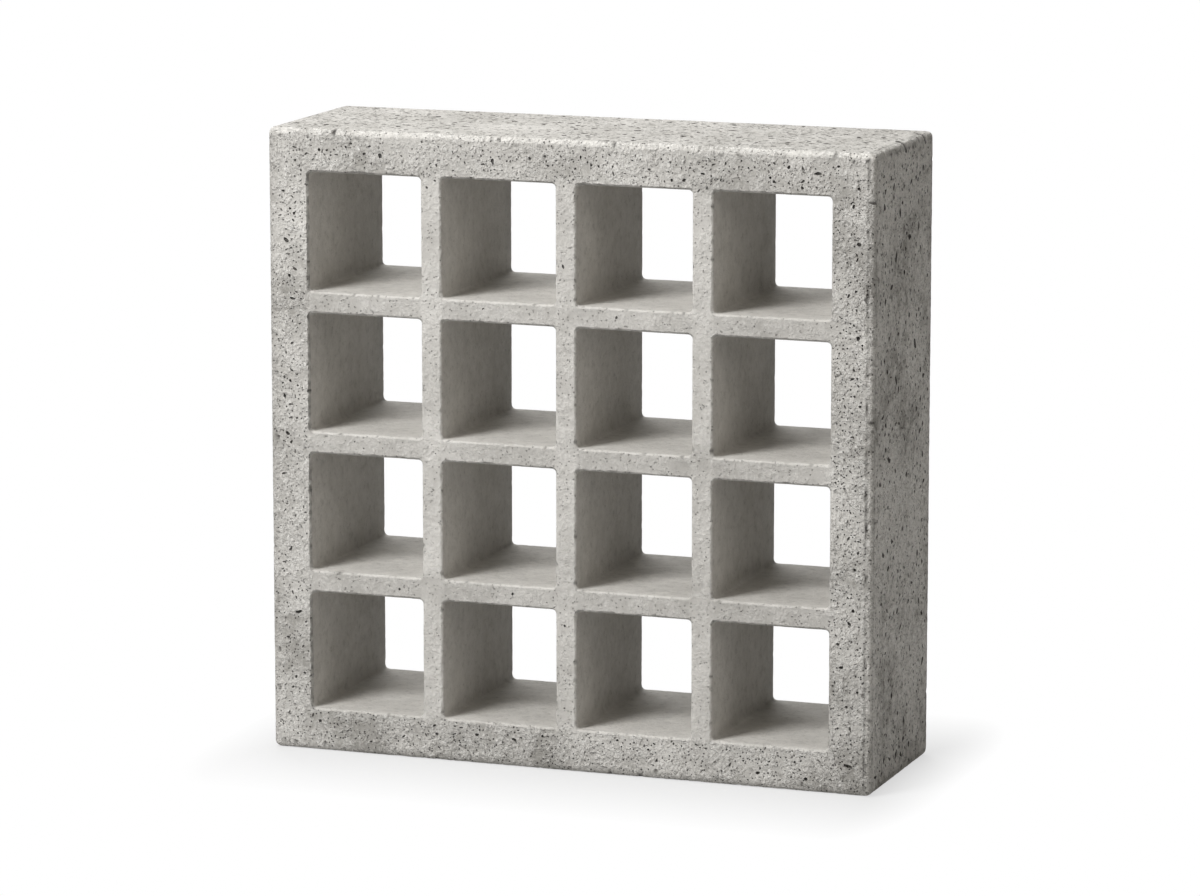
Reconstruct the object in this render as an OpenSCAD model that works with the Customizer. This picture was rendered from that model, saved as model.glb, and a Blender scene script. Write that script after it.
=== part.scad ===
// Breeze block: a square concrete screen block, cast in one piece, with a grid of open cells.
// It stands as it is laid in a wall: +Z up, front face towards -Y, origin at the middle of its bed.
// Sizes are in millimetres.

/* [Block] */
// Width of the block along the wall
block_w = 290; // [200:5:400]
// Height of the block
block_h = 290; // [200:5:400]
// Depth of the block through the wall
block_d = 90; // [50:5:150]
// Radius of the rounded outer edges
edge_r = 3; // [1:0.5:6]

/* [Cells] */
// Cells across the width
columns = 4; // [2:1:5]
// Cells up the height
rows = 4; // [2:1:5]
// Thickness of the rim round the grid
rim_t = 20; // [14:1:30]
// Thickness of the bars between the cells
bar_t = 10; // [6:1:14]
// Radius of the corners inside a cell
cell_r = 2; // [1:0.5:5]
// Radius of the rounded arris round a cell's mouth
arris_r = 1; // [0.5:0.25:2]

/* [Hidden] */
$fn = 48;
// A cutter runs this far past the face that it opens
past = 2;
// The arc of an arris is set this far off its two faces, so it meets each at a slight angle
arris_set = 0.01;
// Clear size of one cell
cell_w = (block_w - 2 * rim_t - (columns - 1) * bar_t) / columns;
cell_h = (block_h - 2 * rim_t - (rows - 1) * bar_t) / rows;
// Distance from one cell to the next
pitch_x = cell_w + bar_t;
pitch_z = cell_h + bar_t;
concrete = "#b9b6af";

// Rectangle about the origin with round corners
module rounded_rectangle(w, h, r) {
    square([w - 2 * r, h], center = true);
    square([w, h - 2 * r], center = true);
    for (x = [-1, 1], y = [-1, 1])
        translate([x * (w / 2 - r), y * (h / 2 - r)]) circle(r);
}

// Places its child, drawn in the wall's plane, at the middle of every cell
module at_cells() {
    for (i = [0 : columns - 1], j = [0 : rows - 1])
        translate([(i - (columns - 1) / 2) * pitch_x, (j - (rows - 1) / 2) * pitch_z]) children();
}

// Stands a section drawn in the wall's plane upright and gives it a depth, centred on the block
module through_wall(depth) {
    translate([0, 0, block_h / 2]) rotate([90, 0, 0]) linear_extrude(depth, center = true) children();
}

// The front outline with its cells, through the whole depth
module grid() {
    through_wall(block_d) difference() {
        rounded_rectangle(block_w, block_h, edge_r);
        at_cells() rounded_rectangle(cell_w, cell_h, cell_r);
    }
}

// The plan of the block, carried up its height
module plan_outline() {
    linear_extrude(block_h) rounded_rectangle(block_w, block_d, edge_r);
}

// The end view of the block, carried along its width
module end_outline() {
    translate([0, 0, block_h / 2]) rotate([90, 0, 90])
        linear_extrude(block_w, center = true) rounded_rectangle(block_d, block_h, edge_r);
}

// Section of what the arris takes off: X into the wall of the cell, Y into the depth from the face
module arris_section() {
    reach = arris_r - arris_set;
    difference() {
        translate([-cell_r / 2, -past]) square([cell_r / 2 + reach, past + reach]);
        translate([reach, reach]) circle(arris_r);
    }
}

// One straight side of a mouth, its wall on the XZ plane and the block's face on the XY plane
module arris_side(length) {
    rotate([90, 0, 90]) linear_extrude(length, center = true) arris_section();
}

// One round corner of a mouth about the Z axis
module arris_corner() {
    rotate_extrude(angle = 90) translate([cell_r, 0]) arris_section();
}

// What the arris takes off round one mouth, the block's face on the XY plane and its depth along +Z
module mouth() {
    for (s = [-1, 1]) {
        rotate([0, 0, 90 - s * 90]) translate([0, cell_h / 2, 0]) arris_side(cell_w - 2 * cell_r);
        rotate([0, 0, -s * 90]) translate([0, cell_w / 2, 0]) arris_side(cell_h - 2 * cell_r);
    }
    for (x = [0, 1], y = [0, 1])
        mirror([x, 0, 0]) mirror([0, y, 0])
            translate([cell_w / 2 - cell_r, cell_h / 2 - cell_r, 0]) arris_corner();
}

// The mouths of all cells on both faces
module mouths() {
    for (side = [0, 1])
        translate([0, 0, block_h / 2]) mirror([0, side, 0]) translate([0, -block_d / 2, 0])
            rotate([-90, 0, 0]) at_cells() mouth();
}

module breeze_block() {
    color(concrete) difference() {
        intersection() {
            grid();
            plan_outline();
            end_outline();
        }
        mouths();
    }
}

breeze_block();
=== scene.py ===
"""Looks of a cast concrete breeze block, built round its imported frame.

Sizes in fields are millimetres. Meshes, lamps and the camera are in metres, in the frame of the part:
X along the wall, Y through it from front to back, Z up, origin in the middle of the bed.
"""

import logging
import math
import random
from dataclasses import dataclass, field
from enum import Enum
from typing import ClassVar

import bmesh
import bpy
from bmesh.types import BMEdge, BMesh, BMFace, BMVert
from bpy.types import Material, Mesh, Node, NodeSocket, NodeTree, Object
from mathutils import Matrix, Vector, noise
from mathutils.kdtree import KDTree


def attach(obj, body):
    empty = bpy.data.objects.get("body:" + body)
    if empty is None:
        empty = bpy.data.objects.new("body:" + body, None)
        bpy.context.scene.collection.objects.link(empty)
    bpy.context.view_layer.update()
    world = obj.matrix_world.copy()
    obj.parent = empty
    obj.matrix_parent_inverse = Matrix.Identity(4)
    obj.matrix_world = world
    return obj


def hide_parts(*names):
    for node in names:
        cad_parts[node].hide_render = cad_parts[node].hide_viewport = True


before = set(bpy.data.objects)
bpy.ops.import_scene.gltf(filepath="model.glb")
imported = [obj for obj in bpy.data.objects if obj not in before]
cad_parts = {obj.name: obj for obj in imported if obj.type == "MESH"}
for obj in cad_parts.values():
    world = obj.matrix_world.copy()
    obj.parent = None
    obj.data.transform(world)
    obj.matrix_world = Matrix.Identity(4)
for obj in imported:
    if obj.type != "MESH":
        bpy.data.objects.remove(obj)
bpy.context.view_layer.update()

Pair = tuple[float, float]
Triple = tuple[float, float, float]
MM = 0.001
SQUARE_CM = 100.0
# Millimetres within which places are the same, and the length below which a direction is none
NEAR = 1e-3
TINY = 1e-6
# Sockets of a Mix node for colours: the share, the colour below, the one above, and the result
MIX_SHARE, MIX_BELOW, MIX_ABOVE, MIX_RESULT = 0, 6, 7, 2
log = logging.getLogger("breeze_block")


def linear(hex_code: str) -> tuple[float, float, float, float]:
    """Turns an sRGB hex colour into a linear colour.

    Args:
        hex_code: Colour such as "#b9b6af".

    Returns:
        Linear red, green and blue, with an alpha of 1.
    """
    channels = [int(hex_code[i:i + 2], 16) / 255 for i in (1, 3, 5)]
    red, green, blue = [c / 12.92 if c <= 0.04045 else ((c + 0.055) / 1.055) ** 2.4 for c in channels]
    return red, green, blue, 1.0


def add_node(tree: NodeTree, kind: str, links: dict | None = None, inputs: dict | None = None,
             **settings: object) -> Node:
    """Adds a shader node with its settings and links.

    Args:
        tree: Node tree that takes the node.
        kind: Blender's name of the node type, after "ShaderNode".
        links: Output sockets by the input, name or number, that each feeds.
        inputs: Plain values by input, name or number.
        settings: Properties of the node.

    Returns:
        The new node.
    """
    node = tree.nodes.new("ShaderNode" + kind)
    for name, value in settings.items():
        setattr(node, name, value)
    for key, value in (inputs or {}).items():
        node.inputs[key].default_value = value
    for key, socket in (links or {}).items():
        tree.links.new(socket, node.inputs[key])
    return node


def product(tree: NodeTree, one: NodeSocket, two: NodeSocket) -> NodeSocket:
    """Multiplies two sockets."""
    return add_node(tree, "Math", {0: one, 1: two}, operation="MULTIPLY").outputs[0]


def scaled(tree: NodeTree, value: NodeSocket, by: float, plus: float) -> NodeSocket:
    """Multiplies a socket by a number and adds another."""
    return add_node(tree, "Math", {0: value}, {1: by, 2: plus}, operation="MULTIPLY_ADD").outputs[0]


def lumps(point: Vector, size: float, shift: Triple = (0, 0, 0)) -> float:
    """Soft noise, roughly from -1 to 1, with lumps of a size in the units of the point."""
    return noise.noise(point / size + Vector(shift))


def direction(azimuth: float, elevation: float) -> Vector:
    """Gives the way out from the block, at degrees to the right of its front and above level."""
    turn, rise = math.radians(azimuth), math.radians(elevation)
    return Vector((math.sin(turn) * math.cos(rise), -math.cos(turn) * math.cos(rise), math.sin(rise)))


@dataclass(frozen=True)
class Grain:
    """A noise pattern of real size: millimetres to a lump, finer octaves, their strength, and swirl."""

    size: float
    detail: float
    roughness: float
    swirl: float = 0.0

    def at(self, tree: NodeTree, place: NodeSocket) -> NodeSocket:
        """Adds the pattern to a node tree, at the given coordinates."""
        values = {"Scale": 1 / (self.size * MM), "Detail": self.detail, "Roughness": self.roughness,
                  "Distortion": self.swirl}
        return add_node(tree, "TexNoise", {"Vector": place}, values).outputs["Fac"]


@dataclass(frozen=True)
class Ramp:
    """A straight ramp over part of a pattern's range, level before and after it."""

    start: float
    end: float
    low: float = 0.0
    high: float = 1.0

    def of(self, tree: NodeTree, value: NodeSocket) -> NodeSocket:
        """Adds the ramp to a node tree, fed by the given value."""
        values = {"From Min": self.start, "From Max": self.end, "To Min": self.low, "To Max": self.high}
        return add_node(tree, "MapRange", {"Value": value}, values).outputs["Result"]


@dataclass(frozen=True)
class CastConcrete:
    """Dense grey concrete cast in a steel mould, never polished.

    It gives the eye a matt, cloudy grey: sand shows as fine bumpy grain on the rim and the outer sides, a thin film of
    cement lies paler and smoother in the cells and on the bars, and trapped air leaves small pores whose dark inside
    is partly painted shade. Specks, mould lines, nicks and the mouths' upper sides get painted shade, and the lower
    lips and the top and right outer edges get painted light.
    """

    paste_light: str = "#d8d5d0"
    paste_dark: str = "#aba8a2"
    skin: str = "#f3f0ea"
    sand_dark: str = "#6c6963"
    sand_light: str = "#f6f4ef"
    # Colour of the painted shade in pores, specks, mould lines, nicks and mouths
    pore_shade: str = "#2e2b27"
    cloud: Grain = Grain(38.0, 3.0, 0.55)
    mottle: Grain = Grain(6.0, 4.0, 0.6)
    sand: Grain = Grain(1.3, 2.0, 0.5, 0.6)
    relief: Grain = Grain(1.5, 3.0, 0.6, 0.8)
    blots: Grain = Grain(3.0, 3.0, 0.6)
    sandy: Ramp = Ramp(0.42, 0.58, 0.4, 1.3)
    specked: Ramp = Ramp(0.56, 0.44, 0.15)
    stained: Ramp = Ramp(0.44, 0.28, high=0.6)
    dark_grains: Ramp = Ramp(0.45, 0.27, high=0.45)
    light_grains: Ramp = Ramp(0.56, 0.68, high=0.7)
    # Tones between which clouds turn the paste from dark to light, and the share of them on smooth parts
    paste_tones: Pair = (0.36, 0.64)
    calm_clouds: float = 0.4
    # Skin that is left on average, and how far clouds wear it off on rough parts
    film_left: float = 0.7
    film_worn: float = 3.5
    # Distance of specks, which stand for pores too small to model, dented and painted with shade, and the radii at
    # which one ends and is full
    speck_mm: float = 1.8
    speck_r: Pair = (0.425, 0.255)
    bump_mm: float = 1.6
    roughness: float = 0.9
    specular: float = 0.1

    def material(self) -> Material:
        """Makes the node material.

        Returns:
            A material that reads Object coordinates and the block's layers for roughness, pale film and painted light,
            stains, and painted shade.
        """
        made = bpy.data.materials.new("cast_concrete")
        made.use_nodes = True
        tree = made.node_tree
        tree.nodes.clear()
        place = add_node(tree, "TexCoord").outputs["Object"]
        rough, skin, stain, pit = (add_node(tree, "Attribute", attribute_name=name).outputs["Fac"]
                                   for name in ("rough", "skin", "stain", "pit"))
        mottle, sand = self.mottle.at(tree, place), self.sand.at(tree, place)
        grit = product(tree, rough, self.sandy.of(tree, mottle))
        clouds = add_node(tree, "Math", {0: self.cloud.at(tree, place), 1: mottle}, operation="ADD")
        clouds = scaled(tree, clouds.outputs[0], 1.0, -1.0)
        film = scaled(tree, product(tree, clouds, rough), self.film_worn, self.film_left)
        blots = self.stained.of(tree, self.blots.at(tree, place))
        dots = add_node(tree, "TexVoronoi", {"Vector": place}, {"Scale": 1 / (self.speck_mm * MM)})
        dots = Ramp(*(edge / self.speck_mm for edge in self.speck_r)).of(tree, dots.outputs["Distance"])
        # Specks: painted shade of pores too small to model, also dented by the bump
        speck = product(tree, dots, product(tree, self.specked.of(tree, mottle), rough))
        tone = product(tree, clouds, scaled(tree, rough, 1 - self.calm_clouds, self.calm_clouds))
        paste = add_node(tree, "ValToRGB", {"Fac": scaled(tree, tone, 0.5, 0.5)})
        for stop, spot, tint in zip(paste.color_ramp.elements, self.paste_tones, (self.paste_dark, self.paste_light)):
            stop.position, stop.color = spot, linear(tint)
        colour = paste.outputs["Color"]
        # Over the paste: pale film that also carries painted light, stains, sand, then the painted shade of specks and
        # pores
        for share, tint in ((product(tree, skin, film), self.skin), (product(tree, stain, blots), self.sand_dark),
                            (product(tree, self.dark_grains.of(tree, sand), grit), self.sand_dark),
                            (product(tree, self.light_grains.of(tree, sand), grit), self.sand_light),
                            (speck, self.pore_shade), (pit, self.pore_shade)):
            colour = add_node(tree, "Mix", {MIX_SHARE: share, MIX_BELOW: colour}, {MIX_ABOVE: linear(tint)},
                              data_type="RGBA").outputs[MIX_RESULT]
        raised = product(tree, self.relief.at(tree, place), grit)
        height = add_node(tree, "Math", {0: raised, 1: speck}, operation="SUBTRACT").outputs[0]
        bump = add_node(tree, "Bump", {"Height": height}, {"Strength": 1.0, "Distance": self.bump_mm * MM})
        shader = add_node(tree, "BsdfPrincipled", {"Base Color": colour, "Normal": bump.outputs["Normal"]},
                          {"Roughness": self.roughness, "Specular IOR Level": self.specular})
        add_node(tree, "OutputMaterial", {"Surface": shader.outputs["BSDF"]})
        return made


class Side(Enum):
    """The six flat sides, each with its direction to the right and upwards, seen from outside."""

    FRONT = ((1, 0, 0), (0, 0, 1))
    BACK = ((-1, 0, 0), (0, 0, 1))
    TOP = ((1, 0, 0), (0, 1, 0))
    BED = ((1, 0, 0), (0, -1, 0))
    RIGHT = ((0, 1, 0), (0, 0, 1))
    LEFT = ((0, -1, 0), (0, 0, 1))

    def __init__(self, across: Triple, along: Triple) -> None:
        """Keeps the two directions, and the one out of the block."""
        self.across, self.along = Vector(across), Vector(along)
        self.outward = self.across.cross(self.along)

    @property
    def has_cells(self) -> bool:
        """Whether the cells open on this side."""
        return self in (Side.FRONT, Side.BACK)


class Strip(Enum):
    """The rounded strips: the block's outer edges, and the mouths of its cells."""

    OUTER = "outer"
    MOUTH = "mouth"


@dataclass(frozen=True)
class Pore:
    """One open pore left by an air bubble, in millimetres on its side."""

    ragged: ClassVar[Pair] = (0.6, 1.25)
    u: float
    v: float
    radius: float
    stretch: float
    turn: float
    depth: float

    @property
    def reach(self) -> float:
        """Furthest that its outline comes from its centre."""
        return self.radius * self.stretch * self.ragged[1]

    @property
    def corners(self) -> int:
        """Number of corners of its outline, more for a wider pore."""
        return next((count for limit, count in ((0.4, 5), (0.55, 6), (0.8, 7)) if self.radius < limit), 9)


@dataclass(frozen=True)
class PoreStyle:
    """How pores look and how thick they lie: millimetres, shares of radius or depth, and shares of painted shade."""

    # Radii on a face and elsewhere: the least, the usual surplus over it, and the largest
    face: Triple = (0.26, 0.165, 0.85)
    end: Triple = (0.33, 0.32, 1.3)
    longer: float = 1.6
    deep: Pair = (0.9, 1.6)
    steep_from: float = 0.6
    wall_share: float = 0.6
    wall_lean: float = 0.06
    wall_shade: float = 0.75
    aside: float = 0.3
    cone_shade: float = 0.82
    side_gap: float = 0.6
    border_gap: float = 0.75
    gap: float = 0.25
    grid: float = 5.0
    # Pores to a square centimetre: everywhere, and how many more in patches
    bed: Pair = (1.2, 1.5)
    left: Pair = (3.2, 4.6)
    plain: Pair = (2.6, 8.6)
    rim: Pair = (4.6, 6.6)
    bars: float = 0.9
    densest: float = 24.0
    right_rim: float = 2.4
    top_rim: float = 1.6
    patch_mm: float = 19.0
    # Clusters on the front rim: place across and up, reach, and how many pores they add
    clusters: tuple[tuple[float, ...], ...] = (
        (9, 276, 9, 7.0), (66, 275, 13, 8.0), (-50, 9, 8, 8.0), (-20, 6, 8, 6.0), (60, 10, 14, 4.0),
        (110, 9, 16, 6.0), (-128, 75, 7, 6.0), (134, 205, 12, 5.0), (133, 40, 12, 5.0))


@dataclass(frozen=True)
class Chip:
    """A small loss along an edge; across says how much distance across the edge counts."""

    place: Vector
    axis: int
    reach: float
    depth: float
    across: float = 0.3

    def loss(self, point: Vector) -> float:
        """Measures the chip at a point.

        Args:
            point: A place on the unworn block.

        Returns:
            How deep the chip is there.
        """
        gap = point - self.place
        run = gap[self.axis]
        gap[self.axis] = 0.0
        away = math.hypot(run, gap.length * self.across) / self.reach
        return self.depth * max(0.0, 1 - away * away)


@dataclass(frozen=True)
class ChipStyle:
    """How edges are nicked; the ragged mouths are those down the left of the first column."""

    seen: tuple[Chip, ...] = (Chip(Vector((144.1, 1.0, 289.1)), 1, 2.2, 1.3),
                              Chip(Vector((144.1, 31.0, 289.1)), 1, 1.6, 0.9))
    edge_start: float = 6.0
    edge_gap: Pair = (3, 15)
    edge_reach: Pair = (0.8, 1.4)
    edge_depth: Triple = (0.3, 0.25, 1.0)
    broad_share: float = 0.15
    broad_place: float = 0.3
    broad_across: float = 0.45
    mouth_start: float = 3.0
    mouth_gap: Pair = (5.0, 22.0)
    mouth_reach: Pair = (0.6, 1.6)
    mouth_depth: Pair = (0.1, 0.5)
    mouth_in: float = 0.3
    mouth_across: float = 0.6
    ragged_rate: float = 4.5
    ragged_deepest: float = 0.8
    ragged_gap: Triple = (0.7, 2.0, 9.0)
    furthest: float = 4.5


class Look(Enum):
    """How sandy each part of the block is, how much pale cement film it has and how many stains; the extra paleness of
    the top and right outer edges and of the lower lips of the mouths is painted light.
    """

    EDGE = (0.9, 0.27, 0.3)
    # Right outer edges are paler than the rest: painted light
    RIGHT_EDGE = (0.9, 0.7, 0.3)
    # Top outer edges are paler than the rest: painted light
    TOP_EDGE = (0.9, 0.62, 0.3)
    CELL_FLOOR = (0.16, 0.53, 0.25)
    CELL_WALL = (0.14, 0.18, 0.3)
    # Lower lips of the mouths are paler: a painted highlight
    LIP = (0.3, 0.85, 0.0)
    UPRIGHT_BAR = (0.35, 0.58, 0.15)
    LEVEL_BAR = (0.35, 0.26, 0.15)
    TOP_RIM = (0.75, 0.48, 0.3)
    LEFT_RIM = (0.75, 0.62, 0.3)
    RIGHT_RIM = (0.95, 0.57, 0.3)
    BOTTOM_RIM = (0.95, 0.61, 0.3)
    TOP_AND_BED = (0.5, 0.22, 2.0)
    ENDS = (0.85, 0.95, 1.1)


@dataclass
class BreezeBlock:
    """The block: a square lattice with rounded edges, open pores and small chips."""

    width: float = 290.0
    height: float = 290.0
    depth: float = 90.0
    rim: float = 20.0
    bar: float = 10.0
    cells: int = 4
    edge_r: float = 3.0
    cell_r: float = 2.0
    arris_r: float = 1.0
    # Segments of the rounded cell corners, mouths and outer edges
    segments: tuple[int, int, int] = (4, 2, 4)
    edge_step: float = 1.0
    mouth_step: float = 1.15
    # Points are moved by up to this much, so that no two of them line up in a fill
    jitter: float = 0.1
    line_w: float = 0.8
    line_corner: float = 0.4
    # Depth of a mould line and its share of painted shade; it is clear only at the right of the sides in the picture
    front_line: Pair = (0.3, 0.75)
    end_line: Pair = (0.3, 0.4)
    faint_line: Pair = (0.1, 0.12)
    # Wear all along an edge, with its waver, and where it was rubbed
    border_wear: Triple = (0.15, 0.2, 0.7)
    round_wear: Triple = (0.05, 0.09, 0.2)
    mouth_wear: Triple = (0.07, 0.13, 0.6)
    # Lumps of the waver, coarse and fine, of rubbed stretches, of the mouths' darkening and of mould lines
    waver_mm: Pair = (3.1, 1.1)
    rub_mm: float = 6.5
    mouth_dark_mm: float = 2.3
    line_mm: float = 5.0
    rub_from: float = 0.22
    # Painted shade of nicks: from this depth on, this much for each millimetre more, and at most the darkest share; of
    # the mouths: a darker band where ragged, and painted shade along the upper side
    dark_from: float = 0.1
    darker: float = 1.5
    ragged_darkening: float = 0.3
    upper_painted_shade: float = 0.2
    darkest_nick: float = 0.85
    # Painted light on the top edge where it faces the front, evening out the round's shading
    paler: float = 0.65
    pores: PoreStyle = PoreStyle()
    chips: ChipStyle = ChipStyle()
    tries: int = 8
    # Random numbers of the nicks; each side starts them again under its own name
    rng: random.Random = field(default_factory=lambda: random.Random(11), init=False)

    @property
    def half(self) -> Vector:
        """Half the width, depth and height."""
        return Vector((self.width, self.depth, self.height)) / 2

    @property
    def cell(self) -> float:
        """Clear width of a cell."""
        return (self.width - 2 * self.rim - (self.cells - 1) * self.bar) / self.cells

    @property
    def pitch(self) -> float:
        """Distance from one cell to the next."""
        return self.cell + self.bar

    @property
    def lines(self) -> list[float]:
        """Places of the rim and bar edges across the face, from its middle."""
        starts = [self.rim - self.width / 2 + number * self.pitch for number in range(self.cells)]
        return [-self.width / 2, *(start + more for start in starts for more in (0, self.cell)), self.width / 2]

    def lattice(self) -> BMesh:
        """Makes the sharp-edged lattice: a grid without its cells, carried back to the depth.

        Returns:
            A closed mesh in millimetres.
        """
        shape = bmesh.new()
        spans = 2 * self.cells + 1
        bmesh.ops.create_grid(shape, x_segments=spans, y_segments=spans, size=1.0)
        for vert in shape.verts:
            column, row = (round((c + 1) / 2 * spans) for c in vert.co.xy)
            vert.co = (self.lines[column], -self.depth / 2, self.lines[row] + self.height / 2)
        open_cells = [f for f in shape.faces if self.in_cell(f.calc_center_median())]
        bmesh.ops.delete(shape, geom=open_cells, context="FACES")
        carried = bmesh.ops.extrude_face_region(shape, geom=shape.faces[:])["geom"]
        moved = [v for v in carried if isinstance(v, BMVert)]
        bmesh.ops.translate(shape, verts=moved, vec=(0, self.depth, 0))
        bmesh.ops.recalc_face_normals(shape, faces=shape.faces[:])
        return shape

    def off_cell(self, point: Vector) -> list[float]:
        """How far a point lies to the right of the middle of the nearest cell, and above it."""
        places = [c + (self.width - self.cell) / 2 - self.rim for c in (point.x, point.z - self.height / 2)]
        return [c - min(max(round(c / self.pitch), 0), self.cells - 1) * self.pitch for c in places]

    def in_cell(self, point: Vector, margin: float = 0.0) -> bool:
        """Says whether a point on the face lies over a cell, or within a margin of one."""
        return max(abs(c) for c in self.off_cell(point)) - self.cell / 2 < margin

    def round_edges(self, shape: BMesh) -> None:
        """Rounds the corners in the cells, then the mouths, then the outer edges.

        Args:
            shape: The sharp-edged lattice.
        """
        in_cells, at_mouths, outside = self.segments
        inner = [e for e in shape.edges if abs((e.verts[0].co - e.verts[1].co).y) > self.depth / 2
                 and self.outer_planes(e.verts[0].co) == 0]
        self.bevel(shape, inner, self.cell_r, in_cells)
        mouths = [e for e in shape.edges if self.is_mouth(e)]
        self.bevel(shape, mouths, self.arris_r, at_mouths)
        outer = [e for e in shape.edges if len(e.link_faces) == 2 and e.calc_face_angle(0.0) > math.radians(80)
                 and all(self.outer_planes(v.co) >= 2 for v in e.verts)]
        self.bevel(shape, outer, self.edge_r, outside)

    @staticmethod
    def bevel(shape: BMesh, edges: list[BMEdge], radius: float, segments: int) -> None:
        """Rounds edges with true arcs."""
        bmesh.ops.bevel(shape, geom=edges, offset=radius, offset_type="OFFSET", segments=segments, profile=0.5,
                        affect="EDGES", clamp_overlap=False, loop_slide=True, material=-1)

    def outer_planes(self, point: Vector) -> int:
        """Counts the flat outer sides of a point on an end, the top or the bed; 0 anywhere else."""
        ends = (abs(abs(point.x) - self.width / 2) < NEAR) + (min(abs(point.z), abs(point.z - self.height)) < NEAR)
        return ends + (abs(abs(point.y) - self.depth / 2) < NEAR) if ends else 0

    def is_mouth(self, edge: BMEdge) -> bool:
        """Says whether an edge lies where a cell's wall meets the front or back face."""
        walls = [f for f in edge.link_faces if abs(f.normal.y) < 0.5]
        return (all(abs(abs(v.co.y) - self.depth / 2) < NEAR for v in edge.verts) and len(walls) == 1
                and self.in_cell(walls[0].calc_center_median(), self.arris_r))

    def open_sides(self, shape: BMesh) -> None:
        """Takes the flat outer faces off, so that each can be laid again round its pores.

        Args:
            shape: The rounded lattice.
        """
        flat = [f for f in shape.faces for side in Side if f.normal.dot(side.outward) > 0.9999
                and abs(f.calc_center_median().dot(side.outward) - self.level(side)) < NEAR]
        bmesh.ops.delete(shape, geom=flat, context="FACES_ONLY")
        bmesh.ops.delete(shape, geom=[e for e in shape.edges if e.is_wire], context="EDGES")
        bmesh.ops.delete(shape, geom=[v for v in shape.verts if not v.link_faces], context="VERTS")

    def divide_strips(self, shape: BMesh) -> None:
        """Cuts the rounded strips and the cells' walls across, so that they can be chipped and uneven.

        Args:
            shape: The lattice without its flat outer faces.
        """
        groups: dict[int, list[BMEdge]] = {}
        for edge in shape.edges:
            place = edge.verts[0].co
            run = edge.verts[1].co - place
            lengthwise = sorted(abs(c) for c in run)[1] < NEAR and run.length > 2 * self.mouth_step
            outer = min(self.width / 2 - abs(place.x), place.z, self.height - place.z) < self.edge_r + NEAR
            if lengthwise and (outer or abs(run.y) < NEAR):
                parts = round(run.length / self.edge_step if outer else self.cell / self.mouth_step)
                groups.setdefault(max(1, parts), []).append(edge)
        for parts, edges in groups.items():
            bmesh.ops.subdivide_edges(shape, edges=edges, cuts=parts - 1, use_grid_fill=True)

    @staticmethod
    def settle(shape: BMesh) -> None:
        """Puts points, edges and faces in order of place, because operators leave them in any order.

        Args:
            shape: The mesh to put in order.
        """
        for number, vert in enumerate(sorted(shape.verts, key=lambda v: v.co.to_tuple(3))):
            vert.index = number
        shape.verts.sort()
        for parts in (shape.edges, shape.faces):
            for number, part in enumerate(sorted(parts, key=lambda p: sorted(v.index for v in p.verts))):
                part.index = number
            parts.sort()
        stored = bpy.data.meshes.new("settled")
        shape.to_mesh(stored)
        shape.clear()
        shape.from_mesh(stored)
        bpy.data.meshes.remove(stored)

    def crease_walls(self, shape: BMesh) -> None:
        """Keeps the line between the arris of a mouth and the walls of its cell crisp.

        Args:
            shape: The divided strips and walls.
        """
        line = self.depth / 2 - self.arris_r
        for edge in shape.edges:
            one, two = (v.co for v in edge.verts)
            if abs(abs(one.y) - line) < NEAR and abs(one.y - two.y) < NEAR and self.in_cell(one, 0.1):
                edge.smooth = False

    def level(self, side: Side) -> float:
        """Height of a side's plane along its outward direction."""
        ends = {Side.TOP: self.height, Side.BED: 0.0}
        return ends.get(side, abs(self.half.dot(side.outward)))

    def plane(self, side: Side) -> Matrix:
        """Gives the matrix that lays a drawing on a side, from the middle of that side."""
        middle = side.outward * self.level(side) + side.along * side.along.z * self.half.z
        return Matrix.Translation(middle) @ Matrix((side.across, side.along, side.outward)).transposed().to_4x4()

    def flat_half(self, side: Side) -> Pair:
        """Half the width and half the height of the flat part of a side."""
        return tuple(abs(self.half.dot(way)) - self.edge_r for way in (side.across, side.along))

    def plan_pores(self, side: Side, border: list[BMEdge]) -> list[Pore]:
        """Scatters pores over a side, thick in patches on the rim and thin on the bars.

        Args:
            side: The side to pit.
            border: The edges round that side and round its cells.

        Returns:
            Pores that keep clear of each other and of the side's border.
        """
        half_u, half_v = self.flat_half(side)
        plane, style = self.plane(side), self.pores
        least, more, largest = style.face if side.has_cells else style.end
        corners = list(dict.fromkeys(v for e in border for v in e.verts))
        edge_tree = KDTree(len(corners))
        for number, vert in enumerate(corners):
            edge_tree.insert(vert.co, number)
        edge_tree.balance()
        near: dict[tuple[int, int], list[Pore]] = {}
        for _ in range(int(4 * half_u * half_v / SQUARE_CM * style.densest)):
            u, v = self.rng.uniform(-half_u, half_u), self.rng.uniform(-half_v, half_v)
            chance, spread = self.rng.random(), self.rng.expovariate(1.0)
            turn, stretch = self.rng.uniform(0, math.pi), 1.0 + style.longer * self.rng.random() ** 2
            deep = self.rng.uniform(*style.deep)
            point = plane @ Vector((u, v, 0))
            if chance * style.densest > self.pore_density(side, point):
                continue
            radius = min(least + more * spread, largest)
            pore = Pore(u, v, radius, stretch, turn, radius * deep)
            gap = pore.reach + style.side_gap
            if (abs(u) > half_u - gap or abs(v) > half_v - gap
                    or side.has_cells and self.in_cell(point, self.arris_r + gap)
                    or edge_tree.find(point)[2] < pore.reach + style.border_gap):
                continue
            home = (int(u // style.grid), int(v // style.grid))
            others = (p for i in (-1, 0, 1) for j in (-1, 0, 1) for p in near.get((home[0] + i, home[1] + j), ()))
            if all(math.hypot(u - p.u, v - p.v) > pore.reach + p.reach + style.gap for p in others):
                near.setdefault(home, []).append(pore)
        return [pore for group in near.values() for pore in group]

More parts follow.
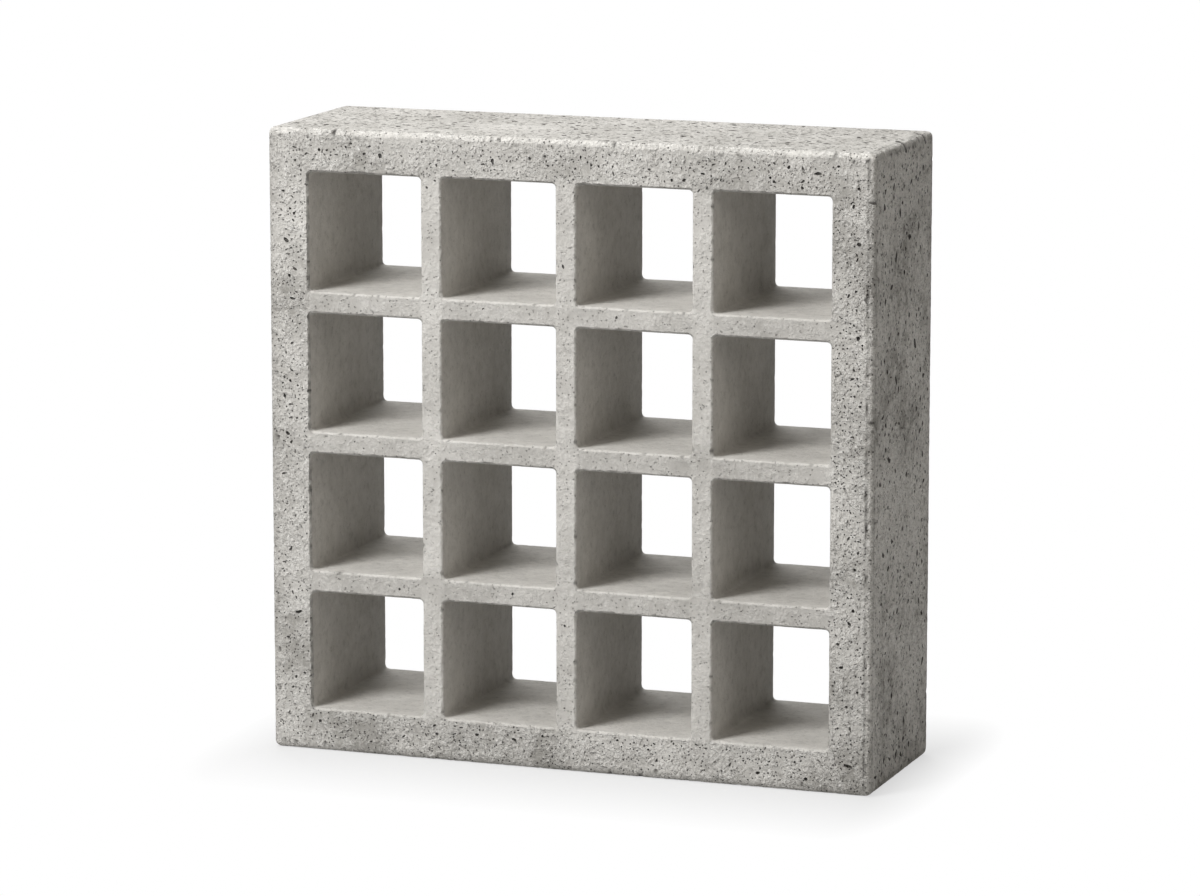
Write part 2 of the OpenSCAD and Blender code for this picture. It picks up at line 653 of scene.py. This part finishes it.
    def pore_density(self, side: Side, point: Vector) -> float:
        """Says how thick the pores lie.

        Args:
            side: A side of the block.
            point: A place on that side.

        Returns:
            Pores to a square centimetre.
        """
        style, inner = self.pores, self.width / 2 - self.rim
        if side.has_cells and max(abs(point.x), abs(point.z - self.height / 2)) < inner:
            return style.bars
        parts = {Side.BED: style.bed, Side.LEFT: style.left, Side.TOP: style.plain, Side.RIGHT: style.plain}
        thin, patch = parts.get(side, style.rim)
        thick = (lumps(point, style.patch_mm, (3.1, 0.7, 5.3)) + 0.15) / 0.5
        density = thin + patch * min(max(thick, 0.0), 1.0)
        if side.has_cells and point.x > inner:
            density *= style.right_rim
        elif side.has_cells and point.z > self.height - self.rim:
            density *= style.top_rim
        if side is Side.FRONT:
            density += sum(more * max(0.0, 1 - math.hypot(point.x - x, point.z - z) / reach)
                           for x, z, reach, more in style.clusters)
        return density

    def draw_pores(self, side: Side, pores: list[Pore]) -> Mesh:
        """Draws the outlines of the pores of a side as closed rings of edges.

        Args:
            side: The side they lie on.
            pores: The pores, numbered from 1 in the "pore" layer of the rings' points.

        Returns:
            A mesh of rings with no faces.
        """
        drawing = bmesh.new()
        owner = drawing.verts.layers.int.new("pore")
        plane = self.plane(side)
        for number, pore in enumerate(pores):
            place = plane @ Matrix.Translation((pore.u, pore.v, 0)) @ Matrix.Rotation(pore.turn, 4, "Z")
            ring = bmesh.ops.create_circle(drawing, cap_ends=False, radius=pore.radius, segments=pore.corners)
            for vert in ring["verts"]:
                flat = Vector((vert.co.x * pore.stretch, vert.co.y, 0))
                vert.co = place @ (flat * self.rng.uniform(*pore.ragged))
                vert[owner] = number + 1
        rings = bpy.data.meshes.new("rings")
        drawing.to_mesh(rings)
        drawing.free()
        return rings

    def lay_side(self, shape: BMesh, side: Side) -> int:
        """Lays a flat side again round its pores, and sinks the pores.

        Args:
            shape: The block with that side open.
            side: The side to lay.

        Returns:
            Number of pores.
        """
        self.rng.seed(side.name)
        border = self.lay_ledge(shape, side)
        for attempt in range(self.tries):
            self.rng.seed(f"{side.name} {attempt}")
            pores = self.plan_pores(side, border)
            rings = self.draw_pores(side, pores)
            shape.from_mesh(rings)
            bpy.data.meshes.remove(rings)
            rims = [e for e in shape.edges if e.is_wire]
            laid = bmesh.ops.triangle_fill(shape, use_beauty=True, use_dissolve=False, edges=border + rims,
                                           normal=side.outward)["geom"]
            laid = [f for f in laid if isinstance(f, BMFace)]
            if self.well_laid(border, rims, laid):
                break
            log.info("%s: laid again with other pores", side.name.lower())
            bmesh.ops.delete(shape, geom=laid, context="FACES_ONLY")
            bmesh.ops.delete(shape, geom=list(dict.fromkeys(v for e in rims for v in e.verts)), context="VERTS")
            bmesh.ops.delete(shape, geom=[e for e in shape.edges if e.is_wire], context="EDGES")
        for edge in border + rims:
            edge.smooth = False
        self.sink(shape, side, pores, rims)
        return len(pores)

    @staticmethod
    def well_laid(border: list[BMEdge], rims: list[BMEdge], laid: list[BMFace]) -> bool:
        """Says whether the new faces meet the whole border and every pore, with none doubled."""
        rings = set(rims)
        return all(len(e.link_faces) == (1 if e in rings else 2)
                   for e in rings.union(border, (e for f in laid for e in f.edges)))

    def lay_ledge(self, shape: BMesh, side: Side) -> list[BMEdge]:
        """Lays a narrow strip inside the outer border of a side, and sinks the border into a mould line with painted
        shade.

        Args:
            shape: The block with that side open.
            side: The side to start.

        Returns:
            The edges that are still open: the inner edge of the strip, and the mouths of the cells.
        """
        pit = shape.loops.layers.float["pit"]
        plane = self.plane(side)
        flat_of = plane.inverted()
        limits, level = self.flat_half(side), self.level(side)
        border = [e for e in shape.edges if e.is_boundary
                  and all(abs(v.co.dot(side.outward) - level) < NEAR for v in e.verts)]
        rest = [e for e in border if self.in_cell(e.verts[0].co, self.rim / 2)]
        outer = [e for e in border if not self.in_cell(e.verts[0].co, self.rim / 2)]
        made = bmesh.ops.extrude_edge_only(shape, edges=outer)["geom"]
        fresh = {v: None for v in made if isinstance(v, BMVert)}
        for vert in fresh:
            flat = flat_of @ vert.co
            gaps = [limits[axis] - abs(flat[axis]) for axis in (0, 1)]
            corner = abs(gaps[0] - gaps[1]) < 0.3
            for axis in (0, 1):
                if corner or gaps[axis] == min(gaps):
                    flat[axis] -= math.copysign(self.line_w * (self.line_corner if corner else 1.0), flat[axis])
                else:
                    flat[axis] += self.rng.uniform(-self.jitter, self.jitter)
            vert.co = plane @ flat
        for vert in dict.fromkeys(v for e in outer for v in e.verts):
            worn = max(0.5 + lumps(vert.co, self.line_mm, (1, 6, 2)), 0.1)
            clear = vert.co.x > self.width / 2 - self.edge_r - 1.5 and side in (Side.FRONT, Side.RIGHT, Side.TOP)
            strong = self.front_line if side is Side.FRONT else self.end_line
            depth, shade = strong if clear else self.faint_line
            vert.co -= side.outward * worn * depth
            # The sunk mould line gets painted shade
            for loop in vert.link_loops:
                loop[pit] = max(loop[pit], worn * shade)
        for edge in outer:
            edge.smooth = False
        return [e for e in made if isinstance(e, BMEdge) and all(v in fresh for v in e.verts)] + rest

    def sink(self, shape: BMesh, side: Side, pores: list[Pore], rims: list[BMEdge]) -> None:
        """Sinks pores: wide ones get steep walls, and each ends in a hollow cone, a little off its middle, painted
        with shade.

        Args:
            shape: The block.
            side: The side the pores lie on.
            pores: The pores of that side.
            rims: Their outlines, closed rings of edges.
        """
        owner, pit = shape.verts.layers.int["pore"], shape.loops.layers.float["pit"]
        plane, style = self.plane(side), self.pores
        steep, rings = [], []
        for edge in rims:
            (steep if pores[edge.verts[0][owner] - 1].radius >= style.steep_from else rings).append(edge)
        sunk = bmesh.ops.extrude_edge_only(shape, edges=steep)["geom"]
        fresh = {v: None for v in sunk if isinstance(v, BMVert)}
        for vert in fresh:
            pore = pores[vert[owner] - 1]
            foot = vert.co.lerp(plane @ Vector((pore.u, pore.v, 0)), style.wall_lean)
            vert.co = foot - side.outward * pore.depth * style.wall_share
        feet = [e for e in sunk if isinstance(e, BMEdge) and all(v in fresh for v in e.verts)]
        caps = bmesh.ops.edgeloop_fill(shape, edges=feet + rings)["faces"]
        cones = bmesh.ops.poke(shape, faces=caps)
        for vert in cones["verts"]:
            pore = pores[vert.link_edges[0].other_vert(vert)[owner] - 1]
            aside, up = (self.rng.uniform(-style.aside, style.aside) for _ in range(2))
            vert.co = plane @ (Vector((pore.u, pore.v, -pore.depth)) + Vector((aside, up, 0)) * pore.radius)
        walls = [f for f in sunk if isinstance(f, BMFace)]
        # The walls and cones of the pores get painted shade
        for faces, shade in ((walls, style.wall_shade), (cones["faces"], style.cone_shade)):
            for loop in (loop for face in faces for loop in face.loops):
                loop[pit] = shade

    def strip_kind(self, point: Vector) -> Strip | None:
        """Names the rounded strip that a point belongs to.

        Args:
            point: A place on the block.

        Returns:
            The kind of strip, or None on a wall or a flat side.
        """
        from_face = self.depth / 2 - abs(point.y)
        near = (self.width / 2 - abs(point.x), from_face, min(point.z, self.height - point.z))
        if sum(d < self.edge_r + NEAR for d in near) >= 2:
            return Strip.OUTER
        if from_face < self.arris_r + NEAR and self.in_cell(point, self.arris_r + 0.02):
            return Strip.MOUTH
        return None

    def plan_chips(self) -> list[Chip]:
        """Scatters nicks along the outer edges and the mouths.

        Returns:
            Chips with their places on the unworn block.
        """
        style = self.chips
        chips = list(style.seen)
        least, mean, deepest = style.edge_depth
        for axis in range(3):
            others = [a for a in range(3) if a != axis]
            for signs in ((-1, -1), (-1, 1), (1, -1), (1, 1)):
                run = style.edge_start - self.half[axis]
                while run < self.half[axis] - style.edge_start:
                    place = Vector((0, 0, 0))
                    place[axis] = run
                    broad = self.rng.random() < style.broad_share
                    low = self.rng.choice(others)
                    for other, sign in zip(others, signs):
                        inset = style.broad_place if broad else float(other == low)
                        place[other] = sign * (self.half[other] - self.edge_r * inset)
                    place.z += self.height / 2
                    depth = min(least + self.rng.expovariate(1 / mean), deepest)
                    reach = self.rng.uniform(*style.edge_reach)
                    chips.append(Chip(place, axis, reach, depth, style.broad_across if broad else 1.0))
                    run += self.rng.uniform(*style.edge_gap)
        for left in self.lines[1:-1:2]:
            for low in self.lines[1:-1:2]:
                chips += self.mouth_chips(left, low + self.height / 2)
        return chips

    def mouth_chips(self, left: float, low: float) -> list[Chip]:
        """Scatters nicks round the two mouths of a cell.

        Args:
            left: Place of the cell's left wall.
            low: Height of its lower wall.

        Returns:
            Chips with their places on the unworn block.
        """
        chips, style = [], self.chips
        least, mean, most = style.ragged_gap
        for face in (-1, 1):
            for axis, across, edge in ((2, 0, left), (2, 0, left + self.cell), (0, 2, low), (0, 2, low + self.cell)):
                ragged = face < 0 and axis == 2 and edge < -self.width / 2 + self.rim + 1
                run = style.mouth_start
                while run < self.cell - style.mouth_start:
                    place = Vector((0, face * (self.depth / 2 - style.mouth_in), 0))
                    place[axis] = (left if axis == 0 else low) + run
                    place[across] = edge
                    reach = self.rng.uniform(*style.mouth_reach)
                    if ragged:
                        depth = min(self.rng.expovariate(style.ragged_rate), style.ragged_deepest)
                        run += min(least + self.rng.expovariate(1 / mean), most)
                    else:
                        depth = self.rng.uniform(*style.mouth_depth)
                        run += self.rng.uniform(*style.mouth_gap)
                    chips.append(Chip(place, axis, reach, depth, style.mouth_across))
        return chips

    def weather(self, shape: BMesh) -> None:
        """Wears the rounded strips: a wavering line along each border, rubbed stretches, and nicks with painted shade;
        the mouths get painted shade along their upper sides.

        Args:
            shape: The strips and walls, with the flat sides still open.
        """
        chips = self.plan_chips()
        near_chips = KDTree(len(chips))
        for number, chip in enumerate(chips):
            near_chips.insert(chip.place, number)
        near_chips.balance()
        pit = shape.loops.layers.float["pit"]
        worn_faces = {f for f in shape.faces if self.strip_kind(f.calc_center_median())}
        for vert in shape.verts:
            kind = self.strip_kind(vert.co)
            if kind is None:
                continue
            waver = lumps(vert.co, self.waver_mm[0], (7, 1, 4)) + 0.5 * lumps(vert.co, self.waver_mm[1])
            rubbed = max(0.0, lumps(vert.co, self.rub_mm, (2, 9, 1)) - self.rub_from)
            found = near_chips.find_range(vert.co, self.chips.furthest)
            lost = max((chips[number].loss(vert.co) for _, number, _ in found), default=0)
            # Nicks get painted shade that grows with their depth
            dark = max(lost - self.dark_from, 0.0) * self.darker
            if kind is Strip.OUTER:
                inward, wear = self.into_edge(vert.co)
            else:
                inward, wear = self.into_bar(vert.co), self.mouth_wear
                # Painted shade along the upper side of a mouth, and a darker band down a ragged one
                dark = max(dark, self.mouth_shade_and_darkening(vert.co))
                if abs(inward.y) < TINY:
                    aside, up = (self.rng.uniform(-self.jitter, self.jitter) for _ in range(2))
                    vert.co += Vector((aside, 0, up))
            for loop in vert.link_loops:
                if loop.face in worn_faces:
                    loop[pit] = min(dark, self.darkest_nick)
            if inward.length > TINY:
                even, wavy, rub = wear
                vert.co += inward.normalized() * max(even + wavy * waver + rub * rubbed + lost, 0.0)

    def into_edge(self, point: Vector) -> tuple[Vector, Triple]:
        """Gives the way from an outer edge into the block and its wear.

        Args:
            point: A point of a rounded outer edge.

        Returns:
            The way in, along the flat side where the point is on its border, and how such a point wears.
        """
        local = point - Vector((0, 0, self.half.z))
        gaps = [h - abs(c) for c, h in zip(local, self.half)]
        if min(gaps) < NEAR:
            inward = (-math.copysign(1.0, c) if NEAR <= gap < self.edge_r + NEAR else 0.0
                      for c, gap in zip(local, gaps))
            return Vector(inward), self.border_wear
        core = Vector(max(self.edge_r - h, min(h - self.edge_r, c)) for c, h in zip(local, self.half))
        return core - local, self.round_wear

    def mouth_shade_and_darkening(self, point: Vector) -> float:
        """Gives the darkening of a mouth: painted shade along its upper side, and a darker band down the left side of
        the first column.

        Args:
            point: A place on the arris.

        Returns:
            Share of dark there.
        """
        upper = (self.height - self.rim - point.z) % self.pitch
        ragged = point.y < 0 and point.x < -self.width / 2 + self.rim + 1
        level = self.ragged_darkening if ragged else self.upper_painted_shade if min(upper, self.pitch - upper) < 1.5 else 0.0
        return max(0.0, level * (1 + 1.6 * lumps(point, self.mouth_dark_mm, (4, 4, 8))))

    def into_bar(self, point: Vector) -> Vector:
        """Gives the way from a cell's mouth into the concrete round it.

        Args:
            point: A place on the arris.

        Returns:
            The way in, along a face or a wall where the point is on the border of one.
        """
        reach = self.cell / 2 - self.cell_r
        right, up = (c if abs(c) > reach else 0 for c in self.off_cell(point))
        outward = Vector((right, 0, up))
        depth = Vector((0, -math.copysign(1.0, point.y), 0))
        from_face = self.depth / 2 - abs(point.y)
        if from_face < NEAR:
            return outward
        return depth if from_face > self.arris_r - NEAR else depth + outward.normalized()

    def mark_surface(self, shape: BMesh) -> None:
        """Writes the look of each point into the layers that the concrete reads.

        Args:
            shape: The whole block, before it is scaled to metres.
        """
        names = ("rough", "skin", "stain")
        for name in names:
            shape.verts.layers.float.new(name)
        rough, skin, stain = (shape.verts.layers.float[name] for name in names)
        for vert in shape.verts:
            look = self.look_at(vert.co, vert.normal)
            vert[rough], pale, vert[stain] = look.value
            # The top edge gets more painted light where it faces the front
            vert[skin] = pale - (self.paler * min(vert.normal.y, 0) if look is Look.TOP_EDGE else 0.0)

    def look_at(self, point: Vector, normal: Vector) -> Look:
        """Gives the look of the surface at a point.

        Args:
            point: A point of the finished surface, in millimetres.
            normal: The way that the surface faces there.

        Returns:
            The look of that part of the block.
        """
        half = self.width / 2
        x, z = abs(point.x), abs(point.z - self.height / 2)
        if self.strip_kind(point) is Strip.OUTER:
            # The top and right outer edges get painted light
            if point.z > self.height - self.edge_r - 0.1:
                return Look.TOP_EDGE
            return Look.RIGHT_EDGE if point.x > half - self.edge_r - 0.5 else Look.EDGE
        if self.in_cell(point, 0.15):
            return Look.CELL_FLOOR if normal.z > 0.7 else Look.CELL_WALL
        # The lower lips of the mouths get a painted highlight
        if self.in_cell(point, 0.6) and normal.z > 0.4:
            return Look.LIP
        if max(x, z) < half - self.rim + 0.5:
            upright = any(abs(x - line) < self.bar / 2 + 0.1 for line in (0, self.pitch))
            return Look.UPRIGHT_BAR if upright else Look.LEVEL_BAR
        if self.depth / 2 - abs(point.y) > 2.0:
            return Look.TOP_AND_BED if z > x else Look.ENDS
        if point.z > self.height - self.rim:
            return Look.TOP_RIM
        if point.x < self.rim - half:
            return Look.LEFT_RIM
        return Look.RIGHT_RIM if point.x > half - self.rim else Look.BOTTOM_RIM

    def build(self) -> Object:
        """Builds the block's mesh and links it.

        Returns:
            The finished object, at the origin.
        """
        shape = self.lattice()
        self.round_edges(shape)
        self.open_sides(shape)
        self.settle(shape)
        self.divide_strips(shape)
        self.settle(shape)
        self.crease_walls(shape)
        # Layer of painted shade in pores, mould lines, nicks and mouths
        shape.loops.layers.float.new("pit")
        self.weather(shape)
        log.info("strips and walls: %d faces", len(shape.faces))
        for side in Side:
            log.info("%s: %d pores", side.name.lower(), self.lay_side(shape, side))
        log.info("open edges %d, edges of three faces %d", sum(e.is_boundary for e in shape.edges),
                 sum(len(e.link_faces) > 2 for e in shape.edges))
        bmesh.ops.recalc_face_normals(shape, faces=shape.faces[:])
        bmesh.ops.triangulate(shape, faces=[f for f in shape.faces if len(f.verts) > 4])
        shape.normal_update()
        self.mark_surface(shape)
        bmesh.ops.scale(shape, verts=shape.verts[:], vec=(MM, MM, MM))
        for face in shape.faces:
            face.smooth = True
        log.info("triangles %d, volume %.4f litres", sum(len(f.verts) - 2 for f in shape.faces),
                 shape.calc_volume() * 1000)
        mesh = bpy.data.meshes.new("breeze_block_cast")
        shape.to_mesh(mesh)
        shape.free()
        block = bpy.data.objects.new("breeze_block_cast", mesh)
        bpy.context.scene.collection.objects.link(block)
        return block


@dataclass(frozen=True)
class Lamp:
    """A soft square lamp that looks at the middle of the block, in degrees, metres and watts."""

    name: str
    azimuth: float
    elevation: float
    watts: float
    tint: str = "#ffffff"
    size: float = 0.8
    away: float = 1.5
    middle: float = 0.145

    def hang(self) -> None:
        """Hangs the lamp."""
        way = direction(self.azimuth, self.elevation)
        light = bpy.data.lights.new(self.name, "AREA")
        light.shape = "SQUARE"
        light.size = self.size
        light.energy = self.watts
        light.color = linear(self.tint)[:3]
        lamp = bpy.data.objects.new(self.name, light)
        lamp.location = Vector((0, 0, self.middle)) + way * self.away
        lamp.rotation_euler = (-way).to_track_quat("-Z", "Y").to_euler()
        bpy.context.scene.collection.objects.link(lamp)


@dataclass
class Studio:
    """White floor, soft lamps and the camera at the viewing angle of the picture."""

    azimuth: float = 20.01
    elevation: float = 10.31
    distance: float = 2507.0
    target: Triple = (0.11, 0.0, 142.4)
    lens: float = 163.8
    clip: Pair = (0.1, 50.0)
    room_light: float = 0.02
    floor_colour: str = "#cbcbcb"
    floor_half: float = 6.0
    # The shadow fades to white over its reach from the foot of the block, sooner along the wall
    foot: Triple = (0.145, 0.045, 0)
    shadow_reach: float = 80.0
    shadow_fade: float = 0.64
    shadow_sooner: Triple = (2.7, 1, 0)
    lamps: tuple[Lamp, ...] = (Lamp("key_lamp", -31, 41, 17.4, size=0.5), Lamp("back_lamp", -150, 46, 10.2),
                               Lamp("top_lamp", 0, 88, 6.6), Lamp("side_lamp", 60, 30, 2.55, "#fff8ee"))

    def camera(self) -> None:
        """Sets the camera up and makes it the scene's own."""
        away = direction(self.azimuth, self.elevation)
        lens = bpy.data.cameras.new("camera")
        lens.lens = self.lens
        lens.clip_start, lens.clip_end = self.clip
        eye = bpy.data.objects.new("camera", lens)
        eye.location = Vector(self.target) * MM + away * self.distance * MM
        eye.rotation_euler = (-away).to_track_quat("-Z", "Y").to_euler()
        bpy.context.scene.collection.objects.link(eye)
        bpy.context.scene.camera = eye

    @staticmethod
    def seen(tree: NodeTree) -> NodeSocket:
        """Tells what the camera sees, straight on or in a reflection, from what only gives light.

        Args:
            tree: Node tree that asks.

        Returns:
            A socket that is 1 for what is seen, and 0 for light.
        """
        path = add_node(tree, "LightPath").outputs
        shown = path["Is Camera Ray"]
        for kind in ("Is Glossy Ray", "Is Transmission Ray"):
            shown = add_node(tree, "Math", {0: shown, 1: path[kind]}, operation="MAXIMUM").outputs[0]
        return shown

    def floor(self) -> None:
        """Lays the floor, which keeps the block's shadow near its foot and is plain white further out."""
        made = bpy.data.materials.new("studio_floor")
        made.use_nodes = True
        tree = made.node_tree
        tree.nodes.clear()
        lit = add_node(tree, "BsdfDiffuse", inputs={"Color": linear(self.floor_colour)}).outputs["BSDF"]
        white = add_node(tree, "Emission").outputs["Emission"]
        place = add_node(tree, "TexCoord").outputs["Object"]
        away = add_node(tree, "VectorMath", {0: place}, operation="ABSOLUTE").outputs["Vector"]
        for step, by in (("SUBTRACT", self.foot), ("MAXIMUM", (0, 0, 0)), ("MULTIPLY", self.shadow_sooner)):
            away = add_node(tree, "VectorMath", {0: away}, {1: by}, operation=step).outputs["Vector"]
        away = add_node(tree, "VectorMath", {0: away}, operation="LENGTH").outputs["Value"]
        fade = Ramp(0.0, self.shadow_reach * MM, low=self.shadow_fade).of(tree, away)
        both = add_node(tree, "MixShader", {0: product(tree, fade, self.seen(tree)), 1: lit, 2: white})
        add_node(tree, "OutputMaterial", {"Surface": both.outputs["Shader"]})
        shape = bmesh.new()
        bmesh.ops.create_grid(shape, x_segments=1, y_segments=1, size=self.floor_half)
        mesh = bpy.data.meshes.new("studio_floor")
        shape.to_mesh(mesh)
        shape.free()
        mesh.materials.append(made)
        ground = bpy.data.objects.new("studio_floor", mesh)
        bpy.context.scene.collection.objects.link(ground)

    def world(self) -> None:
        """Gives the room a faint even light and a white look."""
        sky = bpy.data.worlds.new("studio_room")
        sky.use_nodes = True
        tree = sky.node_tree
        tree.nodes.clear()
        strength = Ramp(0.0, 1.0, low=self.room_light).of(tree, self.seen(tree))
        glow = add_node(tree, "Background", {"Strength": strength}, {"Color": (1, 1, 1, 1)})
        add_node(tree, "OutputWorld", {"Surface": glow.outputs["Background"]})
        bpy.context.scene.world = sky

    def build(self) -> None:
        """Sets up the whole studio."""
        self.camera()
        self.floor()
        self.world()
        for lamp in self.lamps:
            lamp.hang()
        bpy.context.scene.view_settings.view_transform = "Standard"


def main() -> None:
    """Builds the block and its studio, in order."""
    logging.basicConfig(level=logging.INFO, format="%(message)s")
    Studio().build()
    block = BreezeBlock().build()
    block.data.materials.append(CastConcrete().material())
    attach(block, "root")
    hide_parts("breeze_block")


if __name__ == "__main__":
    main()
